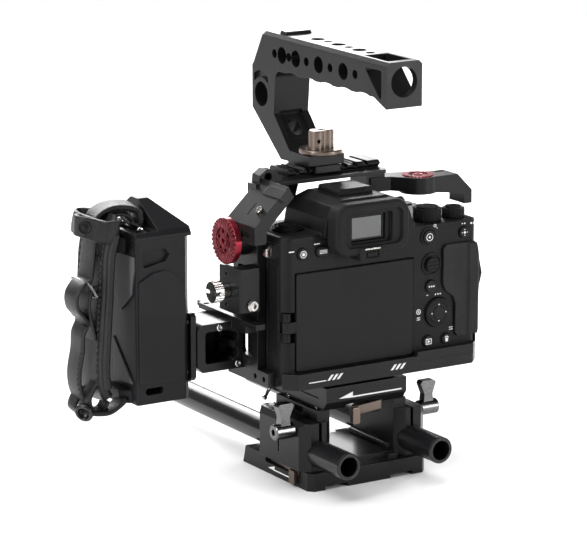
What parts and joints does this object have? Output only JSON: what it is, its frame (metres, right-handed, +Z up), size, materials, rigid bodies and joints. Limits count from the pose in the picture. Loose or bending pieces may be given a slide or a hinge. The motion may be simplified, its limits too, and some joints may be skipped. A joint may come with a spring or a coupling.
{
  "type": "cinema camera rig",
  "caption": "Mirrorless camera in a half cage on a quick-release rod base, with a top handle, a strapped side handle and an opening monitor.",
  "frame": {"origin": "middle of the base plate's underside", "axes": "+X to the operator's right, +Y forward along the lens axis and the rods, +Z up"},
  "size_m": [0.2229, 0.2055, 0.2419],
  "materials": {
    "black_anodised": "satin black hard anodised",
    "black_rod": "black anodised, semi-gloss",
    "bronze_anodised": "champagne bronze anodised",
    "gunmetal": "polished gunmetal",
    "red_anodised": "metallic red anodised",
    "screw_steel": "polished",
    "camera_shell": "fine textured matt black",
    "grip_rubber": "leather-grain moulded",
    "eyecup_rubber": "matt",
    "button_plastic": "semi-gloss",
    "window_glass": "coated",
    "mount_steel": "turned",
    "sensor_stack": "coated filter glass over a dark frame",
    "handle_plastic": "satin",
    "handle_panel": "satin grey",
    "strap_leather": "padded, stitched"
  },
  "bodies": {
    "base": {"base_plate": "black_anodised"},
    "base_lock": {"base_lock_lever": "bronze_anodised"},
    "clamp": {"rod_clamp_body": "black_anodised", "qr_receiver": "black_anodised"},
    "left_rod": {"left_rod": "black_rod"},
    "right_rod": {"right_rod": "black_rod"},
    "left_lever": {"left_clamp_lever": "gunmetal"},
    "right_lever": {"right_clamp_lever": "gunmetal"},
    "qr_lever": {"qr_lock_lever": "bronze_anodised"},
    "cage": {"qr_plate": "black_anodised", "cage_base": "black_anodised", "cage_side_frame": "black_anodised", "cage_top_plate": "black_anodised", "cage_right_arm": "black_anodised", "rosettes": "red_anodised", "cable_clamp": "black_anodised", "cage_screws": "screw_steel", "camera_rear_shell": "camera_shell", "camera_front_shell": "camera_shell", "camera_top_cover": "camera_shell", "eyecup": "eyecup_rubber", "viewfinder_window": "window_glass", "shoe_cover": "camera_shell", "monitor_hinge": "camera_shell", "image_sensor": "sensor_stack", "lens_mount_ring": "mount_steel", "grip_rubber": "grip_rubber", "thumb_rest": "grip_rubber", "strap_lugs": "screw_steel", "handle_bracket": "black_anodised"},
    "cable_knob": {"cable_clamp_knob": "screw_steel"},
    "monitor": {"monitor_panel": "camera_shell"},
    "top_handle": {"top_handle": "black_anodised", "handle_fittings": "screw_steel"},
    "handle_jaw": {"handle_jaw": "black_anodised"},
    "thumb_screw": {"handle_thumb_screw": "bronze_anodised"},
    "side_handle": {"side_handle_shell": "handle_plastic", "side_handle_cap": "handle_plastic", "side_handle_cover": "handle_plastic", "side_handle_panels": "handle_panel", "side_handle_rail": "black_anodised", "hand_strap": "strap_leather"},
    "mode_dial": {"mode_dial": "button_plastic"},
    "exposure_dial": {"exposure_dial": "button_plastic"},
    "front_dial": {"front_dial": "button_plastic"},
    "dioptre_dial": {"dioptre_dial": "button_plastic"},
    "power_lever": {"power_lever": "button_plastic"},
    "shutter_button": {"shutter_button": "button_plastic"},
    "lens_release_button": {"lens_release_button": "button_plastic"},
    "menu_button": {"menu_button": "button_plastic"},
    "control_wheel": {"control_wheel": "button_plastic"},
    "wheel_button": {"wheel_button": "button_plastic"},
    "joystick": {"joystick": "eyecup_rubber"},
    "port_door": {"port_door": "camera_shell"},
    "custom_button": {"custom_button": "button_plastic"},
    "af_button": {"af_button": "button_plastic"},
    "ael_button": {"ael_button": "button_plastic"},
    "fn_button": {"fn_button": "button_plastic"},
    "play_button": {"play_button": "button_plastic"},
    "delete_button": {"delete_button": "button_plastic"}
  },
  "joints": [
    {"name": "base_lock_turn", "type": "hinge", "parent": "base", "child": "base_lock", "pos_m": [-0.033, 0.0085, 0.0064], "axis": [0, 0, -1], "range_deg": [0, 30]},
    {"name": "clamp_slide", "type": "slide", "parent": "base", "child": "clamp", "axis": [0, 1, 0], "range_m": [0, 0.015]},
    {"name": "left_rod_slide", "type": "slide", "parent": "clamp", "child": "left_rod", "axis": [0, 1, 0], "range_m": [-0.04, 0.025]},
    {"name": "right_rod_slide", "type": "slide", "parent": "clamp", "child": "right_rod", "axis": [0, 1, 0], "range_m": [-0.04, 0.025]},
    {"name": "left_lever_turn", "type": "hinge", "parent": "clamp", "child": "left_lever", "pos_m": [-0.045, -0.02, 0.033], "axis": [1, 0, 0], "range_deg": [-30, 120]},
    {"name": "right_lever_turn", "type": "hinge", "parent": "clamp", "child": "right_lever", "pos_m": [0.045, -0.02, 0.033], "axis": [1, 0, 0], "range_deg": [-30, 120]},
    {"name": "qr_lever_turn", "type": "hinge", "parent": "clamp", "child": "qr_lever", "pos_m": [0.009, -0.0254, 0.041], "axis": [0, 0, 1], "range_deg": [0, 50]},
    {"name": "qr_slide", "type": "slide", "parent": "clamp", "child": "cage", "axis": [1, 0, 0], "range_m": [0, 0.05]},
    {"name": "cable_knob_turn", "type": "hinge", "parent": "cage", "child": "cable_knob", "pos_m": [-0.072, 0.0015, 0.1106], "axis": [-1, 0, 0], "continuous": true},
    {"name": "monitor_swing", "type": "hinge", "parent": "cage", "child": "monitor", "pos_m": [-0.0475, -0.024, 0.094], "axis": [0, 0, -1], "range_deg": [0, 176]},
    {"name": "handle_slide", "type": "slide", "parent": "cage", "child": "top_handle", "axis": [1, 0, 0], "range_m": [-0.015, 0.02]},
    {"name": "thumb_screw_turn", "type": "hinge", "parent": "top_handle", "child": "thumb_screw", "pos_m": [0, 0.0165, 0.18], "axis": [0, 0, 1], "range_deg": [0, 360]},
    {"name": "jaw_slide", "type": "slide", "parent": "top_handle", "child": "handle_jaw", "axis": [0, -1, 0], "range_m": [0, 0.0012]},
    {"name": "side_handle_slide", "type": "slide", "parent": "cage", "child": "side_handle", "axis": [0, 0, 1], "range_m": [0, 0.03]},
    {"name": "mode_dial_turn", "type": "hinge", "parent": "cage", "child": "mode_dial", "pos_m": [0.05, -0.0145, 0.144], "axis": [0, 0, 1], "continuous": true},
    {"name": "exposure_dial_turn", "type": "hinge", "parent": "cage", "child": "exposure_dial", "pos_m": [0.067, -0.0155, 0.143], "axis": [0, 0, 1], "continuous": true},
    {"name": "front_dial_turn", "type": "hinge", "parent": "cage", "child": "front_dial", "pos_m": [0.065, 0.0374, 0.127], "axis": [0, 0, 1], "continuous": true},
    {"name": "dioptre_turn", "type": "hinge", "parent": "cage", "child": "dioptre_dial", "pos_m": [0.029, -0.017, 0.151], "axis": [1, 0, 0], "range_deg": [-150, 150]},
    {"name": "power_lever_turn", "type": "hinge", "parent": "cage", "child": "power_lever", "pos_m": [0.065, 0.0315, 0.1365], "axis": [0, 0, 1], "range_deg": [0, 35]},
    {"name": "control_wheel_turn", "type": "hinge", "parent": "cage", "child": "control_wheel", "pos_m": [0.0498, -0.026, 0.0886], "axis": [0, -1, 0], "continuous": true},
    {"name": "joystick_tilt", "type": "hinge", "parent": "cage", "child": "joystick", "pos_m": [0.0454, -0.024, 0.1165], "axis": [1, 0, 0], "range_deg": [-6, 6], "stiffness_Nm_per_rad": 0.05},
    {"name": "port_door_turn", "type": "hinge", "parent": "cage", "child": "port_door", "pos_m": [-0.0493, -0.0107, 0.101], "axis": [0, 0, -1], "range_deg": [0, 45]},
    {"name": "shutter_press", "type": "slide", "parent": "cage", "child": "shutter_button", "axis": [0, 0, -1], "range_m": [0, 0.001], "stiffness_N_per_m": 800},
    {"name": "lens_release_press", "type": "slide", "parent": "cage", "child": "lens_release_button", "axis": [0, -1, 0], "range_m": [0, 0.001], "stiffness_N_per_m": 800},
    {"name": "custom_press", "type": "slide", "parent": "cage", "child": "custom_button", "axis": [0, 1, 0], "range_m": [0, 0.0008], "stiffness_N_per_m": 800},
    {"name": "menu_press", "type": "slide", "parent": "cage", "child": "menu_button", "axis": [0, 1, 0], "range_m": [0, 0.0008], "stiffness_N_per_m": 800},
    {"name": "af_press", "type": "slide", "parent": "cage", "child": "af_button", "axis": [0, 1, 0], "range_m": [0, 0.0008], "stiffness_N_per_m": 800},
    {"name": "ael_press", "type": "slide", "parent": "cage", "child": "ael_button", "axis": [0, 1, 0], "range_m": [0, 0.0008], "stiffness_N_per_m": 800},
    {"name": "fn_press", "type": "slide", "parent": "cage", "child": "fn_button", "axis": [0, 1, 0], "range_m": [0, 0.0008], "stiffness_N_per_m": 800},
    {"name": "play_press", "type": "slide", "parent": "cage", "child": "play_button", "axis": [0, 1, 0], "range_m": [0, 0.0008], "stiffness_N_per_m": 800},
    {"name": "delete_press", "type": "slide", "parent": "cage", "child": "delete_button", "axis": [0, 1, 0], "range_m": [0, 0.0008], "stiffness_N_per_m": 800},
    {"name": "wheel_press", "type": "slide", "parent": "cage", "child": "wheel_button", "axis": [0, 1, 0], "range_m": [0, 0.0008], "stiffness_N_per_m": 800}
  ],
  "couplings": [
    {"joint": "jaw_slide", "follows": "thumb_screw_turn", "m_per_rad": 0.00019}
  ]
}
